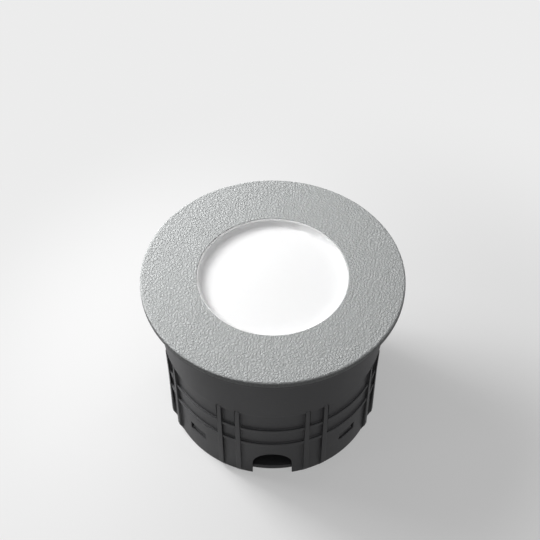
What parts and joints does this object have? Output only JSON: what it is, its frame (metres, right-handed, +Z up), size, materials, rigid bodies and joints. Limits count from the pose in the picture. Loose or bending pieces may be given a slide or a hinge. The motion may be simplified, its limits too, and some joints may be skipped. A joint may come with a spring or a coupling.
{
  "type": "in-ground well light",
  "caption": "Round in-ground light: textured metal cover ring, sunk opal lens and finned lamp that lifts out of a moulded ground sleeve, where spring clips hold it.",
  "frame": {"origin": "on the light's axis at the level of the paving, which is the underside of the sleeve's rim", "axes": "+Z up out of the ground along the light's axis; +X to the right and -Y towards the viewer of the picture"},
  "size_m": [0.09, 0.09, 0.0667],
  "materials": {
    "cover_coat": "silver-grey powder coat with a fine leather texture",
    "opal": "opal white, light-diffusing, satin",
    "seal_rubber": "matt black EPDM",
    "sleeve_plastic": "black moulded polypropylene, fine spark texture",
    "black_nylon": "black glass-filled nylon",
    "die_cast": "raw die-cast aluminium",
    "reflector_white": "white, diffusing",
    "board_white": "white solder mask",
    "led_phosphor": "yellow phosphor in clear silicone",
    "steel_screw": "stainless steel",
    "thermal_grey": "grey silicone pad",
    "spreader_metal": "turned aluminium",
    "board_green": "green solder mask",
    "capacitor_sleeve": "black shrink sleeve",
    "ferrite": "grey-black ferrite",
    "chip_black": "black moulding compound",
    "terminal_green": "green moulded terminal",
    "nickel_brass": "nickel-plated brass",
    "spring_steel": "bright spring strip",
    "contact_gold": "gilt contact pin"
  },
  "bodies": {
    "ground_sleeve": {"mounting_sleeve": "sleeve_plastic", "drain_base": "sleeve_plastic"},
    "lamp": {"face_ring": "cover_coat", "face_gasket": "seal_rubber", "diffuser_lens": "opal", "lens_gasket": "seal_rubber", "lens_cushion": "seal_rubber", "clamp_ring": "black_nylon", "mixing_cup": "reflector_white", "led_board": "board_white", "led_chips": "led_phosphor", "board_screws": "steel_screw", "thermal_pad": "thermal_grey", "heat_spreader": "spreader_metal", "spreader_screws": "steel_screw", "feed_bush": "black_nylon", "feed_pins": "contact_gold", "driver_board": "board_green", "driver_capacitors": "capacitor_sleeve", "driver_inductor": "ferrite", "driver_chips": "chip_black", "terminal_block": "terminal_green", "driver_screws": "steel_screw", "lamp_housing": "die_cast", "housing_seal": "seal_rubber", "housing_screws": "steel_screw", "vent_plug": "black_nylon", "gland_body": "nickel_brass", "gland_o_ring": "seal_rubber", "gland_seal": "seal_rubber", "clip_pins": "steel_screw"},
    "gland_washer": {"gland_washer": "black_nylon"},
    "gland_nut": {"gland_nut": "nickel_brass"},
    "clip_1": {"clip_leaf_1": "spring_steel"},
    "clip_2": {"clip_leaf_2": "spring_steel"},
    "clip_3": {"clip_leaf_3": "spring_steel"}
  },
  "joints": [
    {"name": "lamp_lift", "type": "slide", "parent": "ground_sleeve", "child": "lamp", "axis": [0, 0, 1], "range_m": [0, 0.072]},
    {"name": "clip_press_1", "type": "hinge", "parent": "lamp", "child": "clip_1", "pos_m": [0, 0.03015, -0.0105], "axis": [-1, 0, 0], "range_deg": [0, 9], "stiffness_Nm_per_rad": 0.1},
    {"name": "clip_press_2", "type": "hinge", "parent": "lamp", "child": "clip_2", "pos_m": [-0.02611, -0.01507, -0.0105], "axis": [0.5, -0.866, 0], "range_deg": [0, 9], "stiffness_Nm_per_rad": 0.1},
    {"name": "clip_press_3", "type": "hinge", "parent": "lamp", "child": "clip_3", "pos_m": [0.02611, -0.01507, -0.0105], "axis": [0.5, 0.866, 0], "range_deg": [0, 9], "stiffness_Nm_per_rad": 0.1},
    {"name": "gland_washer_slide", "type": "slide", "parent": "lamp", "child": "gland_washer", "axis": [0, 0, -1], "range_m": [0, 0.00337]},
    {"name": "gland_nut_turn", "type": "hinge", "parent": "gland_washer", "child": "gland_nut", "pos_m": [0, 0, -0.05], "axis": [0, 0, -1], "range_deg": [0, 810]}
  ],
  "couplings": [
    {"joint": "gland_washer_slide", "follows": "gland_nut_turn", "m_per_rad": 0.00023873}
  ]
}
